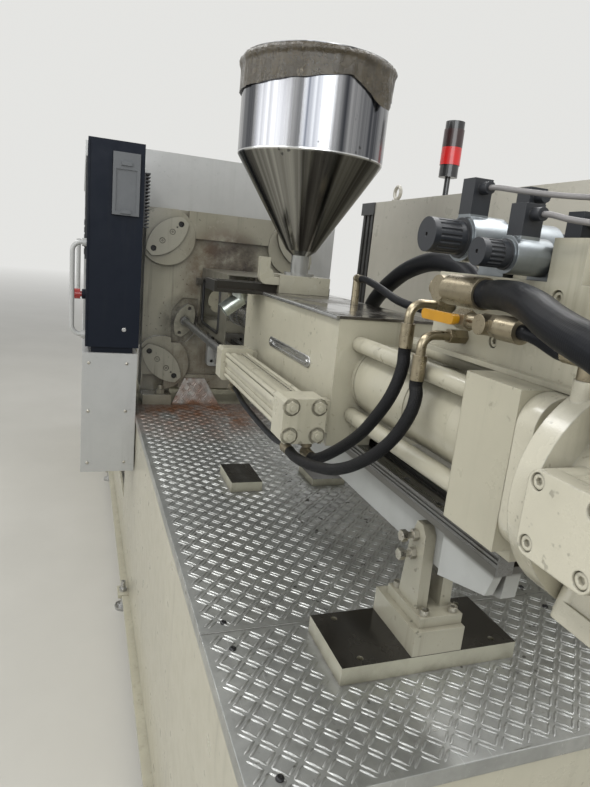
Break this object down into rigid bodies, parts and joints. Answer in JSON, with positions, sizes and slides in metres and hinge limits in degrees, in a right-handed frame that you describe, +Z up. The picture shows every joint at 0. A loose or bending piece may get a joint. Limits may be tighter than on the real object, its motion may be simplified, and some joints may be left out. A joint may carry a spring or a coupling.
{
  "type": "injection moulding machine",
  "caption": "Horizontal hydraulic injection moulding machine with sliding gates, swivelling control cabinet, and an injection carriage with screw, hopper and radial piston motor.",
  "frame": {"origin": "on the floor, under the middle of the machine's bounding box", "axes": "+X along the machine toward the injection end, +Y away from the operator, +Z up"},
  "size_m": [5.0712, 1.5752, 2.1493],
  "materials": {
    "machine_paint": "semi-gloss, worn",
    "guard_paint": "semi-gloss",
    "navy_paint": "semi-gloss",
    "chequer_plate": "worn, oily",
    "bright_steel": "ground",
    "dark_steel": "oily",
    "oily_plate": "oily",
    "zinc": "zinc plated",
    "stainless": "brushed",
    "valve_metal": "cast",
    "black_plastic": "matt",
    "grey_plastic": "matt",
    "red_plastic": "gloss",
    "red_lens": "translucent look",
    "yellow_plastic": "gloss",
    "hose_rubber": "matt",
    "pane": "clear",
    "motor_paint": "semi-gloss"
  },
  "bodies": {
    "frame": {"machine_bed": "machine_paint", "levelling_feet": "bright_steel", "deck_plate_near": "chequer_plate", "deck_plate_far": "chequer_plate", "toe_plate": "chequer_plate", "fixed_platen": "machine_paint", "tie_bars": "bright_steel", "tie_bar_covers": "machine_paint", "clamp_cylinder_block": "machine_paint", "clamp_cylinder": "machine_paint", "clamp_guard": "guard_paint", "front_pillar": "guard_paint", "nozzle_guard": "machine_paint", "electrical_cabinet": "machine_paint", "signal_tower": "red_lens", "water_regulator": "dark_steel", "guide_beam": "guard_paint", "carriage_rails": "dark_steel", "deck_seat_plates": "oily_plate", "support_block": "machine_paint", "support_bracket": "machine_paint", "bracket_bolts": "zinc", "traverse_rods": "stainless", "pump_and_motor": "motor_paint"},
    "control_cabinet": {"control_cabinet": "navy_paint", "control_screen": "black_plastic", "cabinet_handle": "bright_steel", "plug_in_module": "grey_plastic", "cabinet_heat_sink": "black_plastic"},
    "emergency_stop": {"emergency_stop": "red_plastic"},
    "moving_platen": {"moving_platen": "machine_paint", "clamp_ram": "bright_steel", "ejector_cylinder": "machine_paint"},
    "ejector": {"ejector_rod": "bright_steel"},
    "front_gate": {"front_gate": "guard_paint", "front_gate_window": "pane"},
    "rear_gate": {"rear_gate": "guard_paint", "rear_gate_window": "pane"},
    "cabinet_door": {"cabinet_door": "machine_paint"},
    "main_switch": {"main_switch": "red_plastic"},
    "carriage": {"feed_block": "machine_paint", "feed_block_cover": "oily_plate", "injection_cylinder": "machine_paint", "tie_columns": "machine_paint", "rear_plate": "machine_paint", "hydraulic_motor": "machine_paint", "barrel": "bright_steel", "heater_bands": "bright_steel", "traverse_cylinders": "machine_paint", "manifold_block": "machine_paint", "solenoid_valves": "valve_metal", "hose_fittings": "zinc", "hopper_rails": "dark_steel", "traverse_hoses": "hose_rubber", "manifold_hoses": "hose_rubber"},
    "injection_piston": {"injection_piston": "bright_steel"},
    "injection_screw": {"injection_screw": "bright_steel"},
    "hopper": {"hopper": "stainless", "hopper_slide": "machine_paint"},
    "ball_valve_handle": {"ball_valve_handle": "yellow_plastic"}
  },
  "joints": [
    {"name": "clamp_slide", "type": "slide", "parent": "frame", "child": "moving_platen", "axis": [1, 0, 0], "range_m": [0, 0.5]},
    {"name": "ejector_slide", "type": "slide", "parent": "moving_platen", "child": "ejector", "axis": [1, 0, 0], "range_m": [0, 0.12]},
    {"name": "front_gate_slide", "type": "slide", "parent": "frame", "child": "front_gate", "axis": [-1, 0, 0], "range_m": [0, 0.9]},
    {"name": "rear_gate_slide", "type": "slide", "parent": "frame", "child": "rear_gate", "axis": [-1, 0, 0], "range_m": [0, 0.9]},
    {"name": "carriage_slide", "type": "slide", "parent": "frame", "child": "carriage", "axis": [-1, 0, 0], "range_m": [0, 0.31]},
    {"name": "injection_slide", "type": "slide", "parent": "carriage", "child": "injection_piston", "axis": [1, 0, 0], "range_m": [0, 0.2]},
    {"name": "screw_spin", "type": "hinge", "parent": "injection_piston", "child": "injection_screw", "pos_m": [1.41445, -0.12465, 1.385], "axis": [1, 0, 0], "continuous": true},
    {"name": "hopper_shift", "type": "slide", "parent": "carriage", "child": "hopper", "axis": [0, -1, 0], "range_m": [0, 0.18]},
    {"name": "cabinet_swivel", "type": "hinge", "parent": "frame", "child": "control_cabinet", "pos_m": [0.12445, -0.68465, 1.208], "axis": [0, 0, -1], "range_deg": [0, 90]},
    {"name": "emergency_stop_press", "type": "slide", "parent": "control_cabinet", "child": "emergency_stop", "axis": [0, 1, 0], "range_m": [0, 0.005], "stiffness_N_per_m": 400},
    {"name": "ball_valve_turn", "type": "hinge", "parent": "carriage", "child": "ball_valve_handle", "pos_m": [2.10745, -0.24165, 1.564], "axis": [0, 1, 0], "range_deg": [0, 90]},
    {"name": "cabinet_door_hinge", "type": "hinge", "parent": "frame", "child": "cabinet_door", "pos_m": [0.66445, 0.74665, 1], "axis": [0, 0, 1], "range_deg": [0, 110]},
    {"name": "main_switch_turn", "type": "hinge", "parent": "cabinet_door", "child": "main_switch", "pos_m": [1.85445, 0.75765, 1.45], "axis": [0, 1, 0], "range_deg": [0, 90]}
  ]
}
